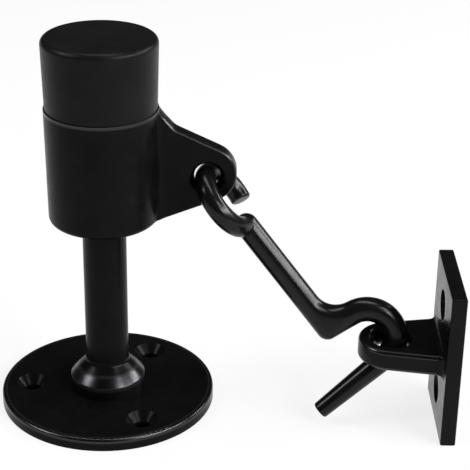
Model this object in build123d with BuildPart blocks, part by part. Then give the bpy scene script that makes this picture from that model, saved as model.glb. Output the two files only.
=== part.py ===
"""Wall door stop with hook: a bumper on a post, and a hook that drops into a keeper on the door.

Frame: millimetres. The origin is the centre of the flange's mounting face, +Z runs out along the
post and +X points from the post to the ear that carries the hook.
"""

import os
from math import asin, atan2, cos, degrees, hypot, radians, sin, tan

from build123d import *

# Flange, foot and post, turned from one piece
flange_d = 63.5
flange_t = 3.7
flange_edge = 0.9
post_d = 12.7
post_length = 54.9
foot_d = 22.2
foot_h = 9.3
foot_lip = 4.2
foot_edge = 0.5
foot_round = 2.0

# Screw holes of the flange
flange_holes = 3
flange_hole_circle = 46.0
flange_hole_d = 5.0
flange_sink_d = 9.4
first_hole_angle = 60.0

# Cup that holds the bumper
cup_base_d = 31.4
cup_rim_d = 32.3
cup_h = 34.0
cup_wall = 3.2
cup_floor = 7.0
cup_base_round = 1.8
cup_rim_round = 0.35

# Ear on the side of the cup
ear_reach = 29.7
ear_rise = 15.0
ear_tip_r = 8.3
ear_hole_d = 7.4
ear_hole_drop = 0.9
ear_hole_bow = 3.4
ear_t = 5.6
ear_top_slope = 25.0
ear_low_slope = 21.5
ear_foot = 1.1
ear_web = 4.9
ear_web_slope = 48.0
ear_web_round = 6.0
ear_side_round = 3.0
ear_edge = 0.9

# Screw that holds the cup on the post
screw_d = 6.0
screw_length = 18.0
screw_head_d = 10.5
screw_head_h = 3.6
screw_slot_w = 1.4
screw_slot_depth = 1.5
screw_clearance = 0.3
thread_depth = 14.0

# Rubber bumper, a cap with a plug
bumper_h = 20.5
bumper_lip = 0.35
bumper_flare = 0.2
bumper_edge = 1.9
plug_length = 17.0
plug_clearance = 0.05

# Hook: an open eye, a straight shank, a heel, a curl and a tapered pin
hook_side = 0.2
hook_tilt = 12.0
eye_rod_d = 6.0
eye_mean_r = 9.1
eye_along = 9.1
eye_sweep = 297.0
eye_turn = 16.0
eye_end_edge = 0.7
shank_lap = 0.3
shank_w = 6.8
hook_t = 6.7
hook_edge = 3.2
heel_lean = 6.0
heel_round = 3.25
inner_round = 6.7
curl_along = 66.3
curl_across = 7.3
curl_inner_r = 4.9
curl_outer_r = 12.0
curl_seat_angle = 33.5
pin_lean = 3.25
pin_root_d = 6.6
pin_tip_d = 5.1
pin_length = 25.0
pin_edge = 0.6

# Keeper: a plate with a lug, and an eye in the lug for the hook
plate_w = 32.2
plate_h = 47.6
plate_t = 4.4
plate_edge = 0.5
plate_hole_spacing = 27.5
plate_hole_d = 4.8
plate_sink_d = 9.6
lug_t = 6.4
lug_tip_r = 9.6
lug_root_w = 24.4
lug_edge = 1.2
lug_root_round = 2.0
eye_to_plate = 14.1
keeper_eye_d = 10.2
keeper_eye_bow = 3.8
seat_offset = 0.8

SINK_ANGLE = 82

# Heights up the post
cup_z = flange_t + post_length
rim_z = cup_z + cup_h
ear_z = cup_z + ear_rise
hole_z = ear_z - ear_hole_drop
recess_r = cup_rim_d / 2 - cup_wall
recess_z = cup_z + cup_floor

os.makedirs("parts", exist_ok=True)


# Flange, foot and post
with BuildPart() as base_post:
    with BuildSketch(Plane.XZ) as post_profile:
        with BuildLine():
            foot_top = (post_d / 2, flange_t + foot_h)
            foot_rim = (foot_d / 2, flange_t + foot_lip)
            flange_rim = (flange_d / 2, flange_t)
            Polyline(
                (0, 0),
                (flange_d / 2, 0),
                flange_rim,
                (foot_d / 2, flange_t),
                foot_rim,
                foot_top,
                (post_d / 2, cup_z),
                (0, cup_z),
                close=True,
            )
        make_face()
        fillet(post_profile.vertices().sort_by_distance(flange_rim)[0], flange_edge)
        fillet(post_profile.vertices().sort_by_distance(foot_rim)[0], foot_edge)
        fillet(post_profile.vertices().sort_by_distance(foot_top)[0], foot_round)
    revolve(axis=Axis.Z)
    with Locations(Plane.XY.offset(flange_t)):
        with PolarLocations(flange_hole_circle / 2, flange_holes, first_hole_angle):
            CounterSinkHole(flange_hole_d / 2, flange_sink_d / 2, flange_t, SINK_ANGLE)
    with Locations(Plane.XY.offset(cup_z)):
        Hole(screw_d / 2, thread_depth)
base_post.part.label = "base_post"


# Cup with its ear: the ear is its plan cut by its side view, rounded, then trimmed to the cup's height
with BuildPart() as bumper_cup:
    with BuildSketch(Plane.XY.offset(cup_z)) as plan:
        Circle(cup_base_d / 2)
        with Locations((ear_reach / 2 + ear_tip_r, 0)):
            Rectangle(ear_reach + 2 * ear_tip_r, ear_t)
        corners = plan.vertices().filter_by_position(Axis.X, 0, cup_base_d / 2)
        fillet(corners, ear_side_round)
    extrude(amount=2 * cup_h, both=True)
    root_x = cup_base_d / 2 - cup_wall / 2
    web_x = cup_base_d / 2 + ear_web
    with BuildSketch(Plane.XZ) as side_view:
        with BuildLine():
            tip_sweep = 180 - ear_top_slope - ear_low_slope
            tip = CenterArc((ear_reach, ear_z), ear_tip_r, ear_low_slope - 90, tip_sweep)
            low_root = tip @ 0 - ((tip @ 0).X - root_x) * Vector(1, tan(radians(ear_low_slope)))
            web_foot = tip @ 1 + ((tip @ 1).X - web_x) * Vector(-1, tan(radians(ear_top_slope)))
            web_root = web_foot + (web_x - root_x) * Vector(-1, tan(radians(ear_web_slope)))
            Polyline(tip @ 1, web_foot, web_root, low_root, tip @ 0)
        make_face()
        fillet(side_view.vertices().sort_by_distance(web_foot)[0], ear_web_round)
    extrude(amount=ear_reach, both=True, mode=Mode.INTERSECT)
    outline = bumper_cup.faces().filter_by(Axis.Y).edges().filter_by(Axis.Z, reverse=True)
    fillet(outline, ear_edge)
    split(bisect_by=Plane.XY.offset(rim_z), keep=Keep.BOTTOM)
    split(bisect_by=Plane.XY.offset(cup_z + ear_foot), keep=Keep.TOP)
    with BuildSketch(Plane.XZ) as cup_profile:
        with BuildLine():
            Polyline(
                (0, cup_z),
                (cup_base_d / 2, cup_z),
                (cup_rim_d / 2, rim_z),
                (0, rim_z),
                close=True,
            )
        make_face()
        outer = cup_profile.vertices().group_by(Axis.X)
        fillet(outer[1], cup_base_round)
        fillet(outer[2], cup_rim_round)
    revolve(axis=Axis.Z)
    with Locations(Plane.XY.offset(rim_z)):
        Hole(recess_r, cup_h - cup_floor)
        Hole(screw_d / 2 + screw_clearance)
    with BuildSketch(Plane.XY.offset(hole_z)):
        with Locations((ear_reach, 0)):
            Rectangle(ear_hole_d / 2 + ear_hole_bow, 2 * ear_t, align=(Align.MIN, Align.CENTER))
        with Locations((ear_reach + ear_hole_d / 2 + ear_hole_bow, 0)):
            Circle(ear_hole_bow, mode=Mode.SUBTRACT)
    revolve(axis=Axis((ear_reach, 0, hole_z), (0, 1, 0)), mode=Mode.SUBTRACT)
bumper_cup.part.label = "bumper_cup"


# Screw from inside the cup into the post
with BuildPart() as cup_screw:
    with BuildSketch(Plane.XY.offset(recess_z)):
        Circle(screw_head_d / 2)
    extrude(amount=screw_head_h)
    with BuildSketch(Plane.XY.offset(recess_z)):
        Circle(screw_d / 2)
    extrude(amount=-screw_length)
    with Locations((0, 0, recess_z + screw_head_h)):
        Box(
            screw_head_d,
            screw_slot_w,
            screw_slot_depth,
            align=(Align.CENTER, Align.CENTER, Align.MAX),
            mode=Mode.SUBTRACT,
        )
cup_screw.part.label = "cup_screw"


# Rubber bumper: its cap sits on the cup's rim and its plug fills the mouth of the cup
with BuildPart() as rubber_bumper:
    with BuildSketch(Plane.XZ) as cap_profile:
        with BuildLine():
            Polyline(
                (0, rim_z),
                (cup_rim_d / 2 - bumper_lip, rim_z),
                (cup_rim_d / 2 + bumper_flare, rim_z + bumper_h),
                (0, rim_z + bumper_h),
                close=True,
            )
        make_face()
        fillet(cap_profile.vertices().sort_by(Axis.X)[-1], bumper_edge)
    revolve(axis=Axis.Z)
    with BuildSketch(Plane.XY.offset(rim_z)):
        Circle(recess_r - plug_clearance)
    extrude(amount=-plug_length)
rubber_bumper.part.label = "rubber_bumper"


# The rounded end of the shank lies round the start of the eye
shank_start = eye_along + eye_mean_r + shank_lap

# The hook hangs so that the seat of its curl is at the keeper's mid height
curl_mid_r = (curl_inner_r + curl_outer_r) / 2
seat_along = curl_along + curl_mid_r * cos(radians(curl_seat_angle))
seat_across = curl_across + curl_mid_r * sin(radians(curl_seat_angle))
seat_drop = (hole_z - plate_h / 2) / cos(radians(hook_tilt))
seat_fall = asin(seat_drop / hypot(seat_along, seat_across))
shank_fall = degrees(seat_fall + atan2(seat_across, seat_along))

# Along the shank, across it towards its upper side, and out of the hook's own plane
hook_plane = Plane(
    origin=(ear_reach - hook_side, 0, hole_z),
    x_dir=(1, 0, 0),
    z_dir=(0, -cos(radians(hook_tilt)), sin(radians(hook_tilt))),
)
shank_plane = hook_plane.moved(Rotation(0, 0, -shank_fall))
eye_plane = shank_plane.moved(Rotation(eye_turn, 0, 0))
pin_root = (
    curl_along + curl_mid_r * cos(radians(pin_lean)),
    curl_across + curl_mid_r * sin(radians(pin_lean)),
)
pin_plane = Plane(
    origin=shank_plane.from_local_coords((*pin_root, 0)),
    x_dir=shank_plane.z_dir,
    z_dir=shank_plane.x_dir * sin(radians(pin_lean)) - shank_plane.y_dir * cos(radians(pin_lean)),
)
curl_meets_shank = 180 + degrees(asin((curl_across - shank_w / 2) / curl_outer_r))
heel_top = (
    curl_along - curl_inner_r * cos(radians(heel_lean)),
    curl_across + curl_inner_r * sin(radians(heel_lean)),
)
heel_along = heel_top[0] - (heel_top[1] + shank_w / 2) * tan(radians(heel_lean))

with BuildPart() as hook:
    with BuildSketch(shank_plane) as hook_outline:
        with BuildLine():
            low_edge = Line((shank_start, -shank_w / 2), (heel_along, -shank_w / 2))
            Line(low_edge @ 1, heel_top)
            curl = (curl_along, curl_across)
            inside = CenterArc(curl, curl_inner_r, 180 - heel_lean, pin_lean + heel_lean - 180)
            outside = CenterArc(curl, curl_outer_r, pin_lean, curl_meets_shank - pin_lean)
            Line(inside @ 1, outside @ 0)
            top_edge = Line(outside @ 1, (shank_start, shank_w / 2))
            ThreePointArc(top_edge @ 1, (shank_start - shank_w / 2, 0), low_edge @ 0)
        make_face()
        fillet(hook_outline.vertices().sort_by_distance(low_edge @ 1)[0], heel_round)
        fillet(hook_outline.vertices().sort_by_distance(outside @ 1)[0], inner_round)
    extrude(amount=hook_t / 2, both=True)
    hook_sides = hook.faces().filter_by(Axis((0, 0, 0), shank_plane.z_dir))
    fillet(hook_sides.edges().sort_by_distance(pin_plane.origin)[2:], hook_edge)
    with BuildSketch(pin_plane):
        Circle(pin_root_d / 2)
    with BuildSketch(pin_plane.offset(pin_length)):
        Circle(pin_tip_d / 2)
    loft()
    fillet(hook.faces().sort_by_distance(pin_plane.offset(pin_length).origin)[0].edges(), pin_edge)
    with BuildSketch(eye_plane):
        with Locations((eye_along + eye_mean_r, 0)):
            Circle(eye_rod_d / 2)
    eye_axis = Axis(eye_plane.from_local_coords((eye_along, 0, 0)), -eye_plane.y_dir)
    revolve(axis=eye_axis, revolution_arc=eye_sweep)
    end_along = eye_along + eye_mean_r * cos(radians(eye_sweep))
    end_out = eye_mean_r * sin(radians(eye_sweep))
    eye_end = eye_plane.from_local_coords((end_along, 0, end_out))
    fillet(hook.faces().sort_by_distance(eye_end)[0].edges(), eye_end_edge)
hook.part.label = "hook"


# Keeper: its eye stands where the curl of the hook passes through it
seat = shank_plane.from_local_coords((seat_along, seat_across, 0))
eye_x = seat.X - seat_offset
plate_x = eye_x + eye_to_plate
lug_low = plate_h / 2 - lug_t / 2
plate_face = Plane(origin=(plate_x, seat.Y, plate_h / 2), x_dir=(0, -1, 0), z_dir=(-1, 0, 0))

with BuildPart() as keeper:
    with BuildSketch(Plane((eye_x, seat.Y, lug_low))):
        with BuildLine():
            CenterArc((0, 0), lug_tip_r, 0, 360)
            Line((eye_to_plate, -lug_root_w / 2), (eye_to_plate, lug_root_w / 2))
        make_hull()
    extrude(amount=lug_t)
    lug_outline = keeper.faces().filter_by(Axis.Z).edges().sort_by(Axis.X)[:-2]
    fillet(lug_outline, lug_edge)
    with BuildSketch(plate_face):
        RectangleRounded(plate_w, plate_h, plate_edge)
    extrude(amount=-plate_t)
    front = keeper.faces().filter_by(Plane.YZ).sort_by(Axis.X)[0]
    fillet(front.inner_wires()[0].edges(), lug_root_round)
    front = keeper.faces().filter_by(Plane.YZ).sort_by(Axis.X)[0]
    back = keeper.faces().filter_by(Plane.YZ).sort_by(Axis.X)[-1]
    fillet(front.outer_wire().edges() + back.edges(), plate_edge)
    with BuildSketch(Plane((eye_x, seat.Y, plate_h / 2), (1, 0, 0), (0, -1, 0))):
        Rectangle(keeper_eye_d / 2 + keeper_eye_bow, 2 * lug_t, align=(Align.MIN, Align.CENTER))
        with Locations((keeper_eye_d / 2 + keeper_eye_bow, 0)):
            Circle(keeper_eye_bow, mode=Mode.SUBTRACT)
    revolve(axis=Axis((eye_x, seat.Y, 0), (0, 0, 1)), mode=Mode.SUBTRACT)
    with Locations(plate_face):
        with GridLocations(0, plate_hole_spacing, 1, 2):
            CounterSinkHole(plate_hole_d / 2, plate_sink_d / 2, plate_t, SINK_ANGLE)
keeper.part.label = "keeper"

for piece in (base_post, bumper_cup, cup_screw, rubber_bumper, hook, keeper):
    export_step(piece.part, f"parts/{piece.part.label}.step")
print(f"shank falls {shank_fall:.2f} degrees, keeper eye at {eye_x:.2f}, {seat.Y:.2f}")
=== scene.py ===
# %% [markdown]
# # A wall door stop with its hook and keeper
#
# The solids of this door stop already stand in one shared frame: the flange sits on the floor at the
# origin, the post runs up +Z, and the ear, the hook and the keeper follow along +X. The script loads
# them as they are, smooths how they catch the light, coats them in procedural finishes, and lights
# them on a pale floor.

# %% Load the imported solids
import math

import bpy
import numpy as np
from mathutils import Matrix, Vector


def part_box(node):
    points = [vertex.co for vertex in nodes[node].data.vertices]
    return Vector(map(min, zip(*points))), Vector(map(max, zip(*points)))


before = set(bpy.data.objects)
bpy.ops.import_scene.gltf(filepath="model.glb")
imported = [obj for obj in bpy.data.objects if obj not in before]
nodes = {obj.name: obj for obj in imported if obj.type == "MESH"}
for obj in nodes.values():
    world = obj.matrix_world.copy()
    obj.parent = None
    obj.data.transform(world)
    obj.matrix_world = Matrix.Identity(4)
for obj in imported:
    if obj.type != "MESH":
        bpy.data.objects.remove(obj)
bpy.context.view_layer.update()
print("solids:", sorted(nodes))

# %% [markdown]
# ## Smooth light on the solids
#
# A loaded solid is a soup of loose triangles, so every triangle would catch the light as its own flat
# facet. One could rebuild each shape by hand. Here a Weld modifier joins the triangles, and an Edge
# Split modifier opens only the real corners, so the rounds stay soft and the machined edges stay crisp.

# %% Weld and smooth every solid
CORNER_ANGLE = math.radians(32)
WELD_DISTANCE = 2e-6


def smooth_solid(solid):
    """Shades a solid smooth across its welded triangles, except over corners past CORNER_ANGLE."""
    mesh = solid.data
    mesh.polygons.foreach_set("use_smooth", np.ones(len(mesh.polygons), dtype=bool))
    weld = solid.modifiers.new("weld", "WELD")
    weld.merge_threshold = WELD_DISTANCE
    split = solid.modifiers.new("corners", "EDGE_SPLIT")
    split.split_angle = CORNER_ANGLE
    split.use_edge_sharp = False


for name in sorted(nodes):
    smooth_solid(nodes[name])
    print(name, "triangles:", len(nodes[name].data.polygons))

# %% [markdown]
# ## A small kit for finishes
#
# Every finish on the object is a Principled shader whose colour, roughness and bump follow noise on
# Object coordinates. The coordinates are in metres, so a noise scale of 800 means cells a bit over a
# millimetre wide. A grain is a pair of numbers for one noise: its scale, and its detail, which is how many
# finer layers lie on top. The helpers only save typing: they feed a socket, start a finish, map one range
# to another, make noise, add a bump and blend two colours.

# %% Helpers that start a finish and feed its sockets


def feed(tree, value, socket):
    """Feeds a socket with another socket's output or with a fixed value."""
    if isinstance(value, bpy.types.NodeSocket):
        tree.links.new(value, socket)
    else:
        socket.default_value = value


def new_finish(name):
    """Starts a material and gives it back with its tree, its Principled shader and Object coordinates."""
    finish = bpy.data.materials.new(name)
    finish.use_nodes = True
    tree = finish.node_tree
    shader = tree.nodes["Principled BSDF"]
    place = tree.nodes.new("ShaderNodeTexCoord").outputs["Object"]
    return finish, tree, shader, place


def map_range(tree, value, from_low, from_high, to_low=0, to_high=1):
    """Maps one range of a value to another and stops at the ends."""
    stretch = tree.nodes.new("ShaderNodeMapRange")
    feed(tree, value, stretch.inputs["Value"])
    feed(tree, from_low, stretch.inputs["From Min"])
    feed(tree, from_high, stretch.inputs["From Max"])
    feed(tree, to_low, stretch.inputs["To Min"])
    feed(tree, to_high, stretch.inputs["To Max"])
    return stretch.outputs["Result"]


# %% Helpers for noise, bumps and colours
NOISE_LOW = 0.25
NOISE_HIGH = 0.75


def noise_range(tree, place, grain, low=0, high=1):
    """Noise of one grain, its middle half stretched to run from low to high."""
    scale, detail = grain
    noise = tree.nodes.new("ShaderNodeTexNoise")
    feed(tree, place, noise.inputs["Vector"])
    feed(tree, scale, noise.inputs["Scale"])
    feed(tree, detail, noise.inputs["Detail"])
    return map_range(tree, noise.outputs["Fac"], NOISE_LOW, NOISE_HIGH, low, high)


def add_bump(tree, shader, height, strength, depth):
    """Feeds a height into the shader's normal, with the bump's depth in metres."""
    bump = tree.nodes.new("ShaderNodeBump")
    feed(tree, height, bump.inputs["Height"])
    feed(tree, strength, bump.inputs["Strength"])
    feed(tree, depth, bump.inputs["Distance"])
    feed(tree, bump.outputs["Normal"], shader.inputs["Normal"])


def blend_colour(tree, shader, share, under, over):
    """Mixes two colours, each fixed or from a socket, by a share and feeds the shader's base colour."""
    mix = tree.nodes.new("ShaderNodeMix")
    mix.data_type = "RGBA"
    feed(tree, share, mix.inputs["Factor"])
    feed(tree, under, mix.inputs["A"])
    feed(tree, over, mix.inputs["B"])
    feed(tree, mix.outputs["Result"], shader.inputs["Base Color"])


# %% [markdown]
# ## Black coat on the metal
#
# The flange, post, cup, hook and keeper are metal under a satin black coat. A coat like this is never
# quite even: it has a faint orange peel, and its gloss drifts a little from place to place. A flat colour
# with one roughness would look like plastic, so the roughness drifts with a broad noise and a fine noise
# gives the peel. The hook is handled most, so its coat is the smoothest and shines the most.

# %% The satin black coat
COAT_DARK = (0.0025, 0.0025, 0.0027, 1)
COAT_LIGHT = (0.0045, 0.0045, 0.0048, 1)
COAT_PATCHES = (160, 4)
COAT_GLOSS = (260, 5)
COAT_PEEL = (1300, 2)
PEEL_STRENGTH = 0.35


def black_coat(name, specular, smooth, rough, peel_depth):
    """A satin black coat whose roughness drifts from smooth to rough, with its peel's depth in metres."""
    finish, tree, shader, place = new_finish(name)
    feed(tree, specular, shader.inputs["Specular IOR Level"])
    blend_colour(tree, shader, noise_range(tree, place, COAT_PATCHES), COAT_DARK, COAT_LIGHT)
    feed(tree, noise_range(tree, place, COAT_GLOSS, smooth, rough), shader.inputs["Roughness"])
    add_bump(tree, shader, noise_range(tree, place, COAT_PEEL), PEEL_STRENGTH, peel_depth)
    return finish


def coat_node(node, finish):
    """Puts one finish on a whole solid."""
    nodes[node].data.materials.clear()
    nodes[node].data.materials.append(finish)
    print(node, "finish:", finish.name)


turned_coat = black_coat("turned_black_coat", specular=0.06, smooth=0.2, rough=0.3, peel_depth=6e-6)
cast_coat = black_coat("cast_black_coat", specular=0.06, smooth=0.24, rough=0.36, peel_depth=1e-5)
hook_coat = black_coat("hook_black_coat", specular=0.22, smooth=0.19, rough=0.26, peel_depth=3e-6)
keeper_coat = black_coat("keeper_black_coat", specular=0.1, smooth=0.2, rough=0.3, peel_depth=6e-6)
coat_node("base_post", turned_coat)
coat_node("bumper_cup", cast_coat)
coat_node("hook", hook_coat)
coat_node("keeper", keeper_coat)

# %% [markdown]
# ## Painted highlights on the rims and edges
#
# The turned rims and the rounded edges of the ear and the lug carry thin bright lines. These are painted
# highlights: a band of brighter metal painted along each rim and edge, so that they shine more than the
# rest.
# One could paint a mask by hand. Here the mask is worked out from the place of each point: first the place
# is flattened to a section, in which a rim or an edge is a single point, and then the mask fades with the
# distance from that point. Inside the mask the shader turns to a dark metal.

# %% Where the rims and edges are, from the frame
FLANGE_THICKNESS = 0.0037
RIM_INSET = 0.0003
FOOT_RIM_RADIUS = 0.0100
FOOT_RIM_HEIGHT = 0.0090
CUP_WALL_END = 0.0168
EAR_EDGE_SIDE = 0.0022
PLATE_AND_ROOT = 0.0067
LUG_EDGE_RISE = 0.0025

post_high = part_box("base_post")[1]
cup_low, cup_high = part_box("bumper_cup")
keeper_low, keeper_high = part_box("keeper")
flange_rim = (post_high[0] - RIM_INSET, 0, FLANGE_THICKNESS - RIM_INSET)
foot_rim = (FOOT_RIM_RADIUS, 0, FOOT_RIM_HEIGHT)
cup_rim = (-cup_low[0], 0, cup_high[2])
ear_edge = (CUP_WALL_END, EAR_EDGE_SIDE, 0)
lug_edge = (keeper_high[0] - PLATE_AND_ROOT, 0, LUG_EDGE_RISE)
lug_height = (keeper_low[2] + keeper_high[2]) / 2
print("rims:", flange_rim, foot_rim, cup_rim)
print("edges:", ear_edge, lug_edge, "with the lug's middle at", lug_height)

# %% Sections in which a rim or an edge is one point


def vector_step(tree, operation, first, second=(0, 0, 0)):
    """One step of vector arithmetic between a socket and a fixed vector."""
    step = tree.nodes.new("ShaderNodeVectorMath")
    step.operation = operation
    feed(tree, first, step.inputs[0])
    feed(tree, second, step.inputs[1])
    return step.outputs["Value" if operation in ("LENGTH", "DISTANCE") else "Vector"]


def turned_section(tree, place):
    """Turns every point round Z into the XZ plane: its radius is X and its height is Z."""
    separate = tree.nodes.new("ShaderNodeSeparateXYZ")
    feed(tree, place, separate.inputs["Vector"])
    section = tree.nodes.new("ShaderNodeCombineXYZ")
    radius = vector_step(tree, "LENGTH", vector_step(tree, "MULTIPLY", place, (1, 1, 0)))
    feed(tree, radius, section.inputs["X"])
    feed(tree, separate.outputs["Z"], section.inputs["Z"])
    return section.outputs["Vector"]


def ear_section(tree, place):
    """Folds both sides of the ear together and slides every point past the cup's wall back to it."""
    return vector_step(tree, "MINIMUM", vector_step(tree, "ABSOLUTE", place), (CUP_WALL_END, 1, 0))


def lug_section(tree, place):
    """Folds the lug's top and underside together and slides every point before the plate up to it."""
    from_middle = vector_step(tree, "SUBTRACT", place, (0, 0, lug_height))
    folded = vector_step(tree, "MULTIPLY", vector_step(tree, "ABSOLUTE", from_middle), (1, 0, 1))
    return vector_step(tree, "MAXIMUM", folded, (lug_edge[0], 0, 0))


# %% Paint highlight lines on the rims and the edges
# painted highlight: this brighter metal is painted along the rims and edges
PAINTED_HIGHLIGHT_METAL = (0.045, 0.045, 0.047, 1)


def math_step(tree, operation, first, second):
    """One step of arithmetic between two sockets."""
    step = tree.nodes.new("ShaderNodeMath")
    step.operation = operation
    feed(tree, first, step.inputs[0])
    feed(tree, second, step.inputs[1])
    return step.outputs["Value"]


def paint_highlight_line(finish, section, point, reach):
    """Paints a highlight line: turns a finish to brighter metal within a reach, in metres, of a point,
    fading over the outer half.
    """
    tree = finish.node_tree
    shader = tree.nodes["Principled BSDF"]
    place = tree.nodes.new("ShaderNodeTexCoord").outputs["Object"]
    distance = vector_step(tree, "DISTANCE", section(tree, place), point)
    highlight_mask = map_range(tree, distance, reach, reach / 2)
    coat_colour = shader.inputs["Base Color"].links[0].from_socket
    blend_colour(tree, shader, highlight_mask, coat_colour, PAINTED_HIGHLIGHT_METAL)
    metallic = shader.inputs["Metallic"]
    if metallic.is_linked:
        highlight_mask = math_step(tree, "MAXIMUM", highlight_mask, metallic.links[0].from_socket)
    feed(tree, highlight_mask, metallic)
    print("painted_highlight:", finish.name, "at", point)


# painted highlights along the flange, foot and cup rims and along the ear and lug edges
paint_highlight_line(turned_coat, turned_section, flange_rim, reach=0.0013)
paint_highlight_line(turned_coat, turned_section, foot_rim, reach=0.0027)
paint_highlight_line(cast_coat, turned_section, cup_rim, reach=0.0011)
paint_highlight_line(cast_coat, ear_section, ear_edge, reach=0.00055)
paint_highlight_line(keeper_coat, lug_section, lug_edge, reach=0.0006)

# %% [markdown]
# ## Rubber of the bumper
#
# The bumper is moulded rubber, a near black that never gets as shiny as paint. It is rougher than the coat
# and has a faint bloom, which lifts its colour in soft patches. A sheen layer could give the bloom too,
# but two blended colours are enough and stay plain.

# %% The bumper's rubber
RUBBER_DARK = (0.004, 0.004, 0.0044, 1)
RUBBER_LIGHT = (0.007, 0.007, 0.0076, 1)
RUBBER_SPECULAR = 0.09
RUBBER_SMOOTH = 0.32
RUBBER_ROUGH = 0.42
RUBBER_BLOOM = (120, 5)
RUBBER_GLOSS = (500, 4)
RUBBER_PORES = (2600, 3)
PORE_STRENGTH = 0.3
PORE_DEPTH = 1.5e-5

rubber, tree, shader, place = new_finish("bumper_rubber")
feed(tree, RUBBER_SPECULAR, shader.inputs["Specular IOR Level"])
blend_colour(tree, shader, noise_range(tree, place, RUBBER_BLOOM), RUBBER_DARK, RUBBER_LIGHT)
gloss = noise_range(tree, place, RUBBER_GLOSS, RUBBER_SMOOTH, RUBBER_ROUGH)
feed(tree, gloss, shader.inputs["Roughness"])
add_bump(tree, shader, noise_range(tree, place, RUBBER_PORES), PORE_STRENGTH, PORE_DEPTH)
coat_node("rubber_bumper", rubber)

# %% [markdown]
# ## Steel of the hidden screw
#
# The screw that holds the cup on the post is never seen from outside, but it is there, so it gets plain
# steel with the fine turning marks of a screw head: noise squashed along the screw's length.

# %% The screw's steel
STEEL_DARK = (0.42, 0.42, 0.43, 1)
STEEL_LIGHT = (0.55, 0.55, 0.57, 1)
STEEL_SMOOTH = 0.28
STEEL_ROUGH = 0.42
STEEL_GLOSS = (900, 3)
TURNING_MARKS = (700, 3)
MARK_SQUASH = (1, 1, 12)
MARK_STRENGTH = 0.2
MARK_DEPTH = 1e-5

steel, tree, shader, place = new_finish("screw_steel")
feed(tree, 1, shader.inputs["Metallic"])
squash = tree.nodes.new("ShaderNodeMapping")
feed(tree, place, squash.inputs["Vector"])
feed(tree, MARK_SQUASH, squash.inputs["Scale"])
marks = noise_range(tree, squash.outputs["Vector"], TURNING_MARKS)
blend_colour(tree, shader, marks, STEEL_DARK, STEEL_LIGHT)
gloss = noise_range(tree, place, STEEL_GLOSS, STEEL_SMOOTH, STEEL_ROUGH)
feed(tree, gloss, shader.inputs["Roughness"])
add_bump(tree, shader, marks, MARK_STRENGTH, MARK_DEPTH)
coat_node("cup_screw", steel)

# %% [markdown]
# ## A pale floor
#
# The picture has no horizon, so the floor has to fill the view. It is a wide sheet that is white to the
# camera and in reflections, and still takes the object's soft shadow: most of its white is its own light
# for those rays, and the rest is plain diffuse paint that darkens in the shade. Under the flange both
# fade to black, a painted shade, so that the screw holes look as deep and dark as holes over a wall do.

# %% The floor's sheet
FLOOR_HALF = 3.0
corners = np.array([[-1, -1, 0], [1, -1, 0], [1, 1, 0], [-1, 1, 0]]) * FLOOR_HALF
floor_mesh = bpy.data.meshes.new("floor")
floor_mesh.from_pydata(corners.tolist(), [], [(0, 1, 2, 3)])
floor = bpy.data.objects.new("floor", floor_mesh)
bpy.context.scene.collection.objects.link(floor)
print("floor:", 2 * FLOOR_HALF, "m wide")

# %% The floor's white
FLOOR_WHITE = 0.82
FLOOR_GLOW = (1, 1, 1, 1)
# the radius of the painted shade under the flange, and how far it fades
PAINTED_SHADE_RADIUS = 0.0315
PAINTED_SHADE_FADE = 0.002

paper = bpy.data.materials.new("pale_floor")
paper.use_nodes = True
tree = paper.node_tree
tree.nodes.clear()
place = tree.nodes.new("ShaderNodeTexCoord").outputs["Object"]
from_post = vector_step(tree, "LENGTH", place)
# painted shade: the floor's paint and glow fade to black under the flange
white_and_painted_shade = map_range(tree, from_post, PAINTED_SHADE_RADIUS - PAINTED_SHADE_FADE, PAINTED_SHADE_RADIUS, 0, FLOOR_WHITE)
rays = tree.nodes.new("ShaderNodeLightPath")
seen = math_step(tree, "MAXIMUM", rays.outputs["Is Camera Ray"], rays.outputs["Is Glossy Ray"])
seen = math_step(tree, "MAXIMUM", seen, rays.outputs["Is Transmission Ray"])
paint = tree.nodes.new("ShaderNodeBsdfDiffuse")
feed(tree, white_and_painted_shade, paint.inputs["Color"])
glow = tree.nodes.new("ShaderNodeEmission")
feed(tree, FLOOR_GLOW, glow.inputs["Color"])
mix = tree.nodes.new("ShaderNodeMixShader")
feed(tree, math_step(tree, "MULTIPLY", seen, white_and_painted_shade), mix.inputs["Fac"])
feed(tree, paint.outputs["BSDF"], mix.inputs[1])
feed(tree, glow.outputs["Emission"], mix.inputs[2])
out = tree.nodes.new("ShaderNodeOutputMaterial")
feed(tree, mix.outputs["Shader"], out.inputs["Surface"])
floor_mesh.materials.append(paper)
print("floor's finish:", paper.name)

# %% [markdown]
# ## Soft studio light
#
# Black gloss shows its lamps more than its colour, so each lamp is placed for what it draws. A long strip
# at the right draws the bright band along the hook. Three small boxes, at the left, at the front
# right and far at the right, draw the soft spots on the foot, and the front one also the band on the
# hook's eye. A strip straight above draws the fine lines on the rims and on the edges of the ear. The
# dim world stands for the dark room behind, which the flat top of the flange mirrors.

# %% Lamps
LAMP_AIM = (0.035, 0, 0.055)


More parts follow.
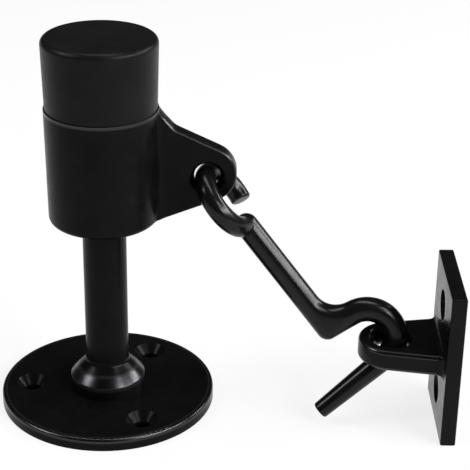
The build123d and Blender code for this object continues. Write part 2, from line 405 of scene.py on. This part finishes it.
def soft_lamp(name, place, width, height, watts):
    """A rectangular lamp at a place in metres, turned to face LAMP_AIM."""
    lamp = bpy.data.lights.new(name, "AREA")
    lamp.shape = "RECTANGLE"
    lamp.size = width
    lamp.size_y = height
    lamp.energy = watts
    holder = bpy.data.objects.new(name, lamp)
    holder.location = place
    holder.rotation_euler = (Vector(LAMP_AIM) - Vector(place)).to_track_quat("-Z", "Y").to_euler()
    bpy.context.scene.collection.objects.link(holder)
    print(name, watts, "W")


soft_lamp("left_box", (-0.7, -0.12, 0.72), width=0.34, height=0.34, watts=4.2)
soft_lamp("right_strip", (0.85, -0.3, 0.52), width=1.3, height=0.14, watts=13)
soft_lamp("far_right_box", (0.83, 0.4, 0.5), width=0.2, height=0.2, watts=2)
soft_lamp("front_right_box", (0.6, -0.5, 0.7), width=0.25, height=0.25, watts=2)
soft_lamp("top_strip", (0.08, 0.05, 1.05), width=0.9, height=0.22, watts=4.4)

# %% World
ROOM_GREY = (0.05, 0.05, 0.05, 1)
world = bpy.data.worlds.new("dim_room")
world.use_nodes = True
world.node_tree.nodes["Background"].inputs["Color"].default_value = ROOM_GREY
bpy.context.scene.world = world
bpy.context.scene.view_settings.view_transform = "Standard"
print("world:", world.name)

# %% [markdown]
# ## The camera
#
# The camera's height, tilt and lens were worked out from the ellipses of the flange, the cup and the
# bumper: a long lens, about 25 degrees above the floor, with a slight roll.

# %% Camera
IMAGE_WIDTH = 470
FOCAL_PIXELS = 1479.3
SENSOR = 36.0
NEAREST_SEEN = 0.01
CAMERA_PLACE = (0.037756, -0.38602, 0.23745)
CAMERA_PITCH = 25.437
CAMERA_ROLL = 0.88

lens = bpy.data.cameras.new("camera")
lens.sensor_width = SENSOR
lens.lens = FOCAL_PIXELS * SENSOR / IMAGE_WIDTH
lens.clip_start = NEAREST_SEEN
camera = bpy.data.objects.new("camera", lens)
tilt = Matrix.Rotation(math.radians(90 - CAMERA_PITCH), 4, "X")
roll = Matrix.Rotation(math.radians(CAMERA_ROLL), 4, "Z")
camera.matrix_world = Matrix.Translation(CAMERA_PLACE) @ tilt @ roll
bpy.context.scene.collection.objects.link(camera)
bpy.context.scene.camera = camera
print("lens:", round(lens.lens, 1), "mm")
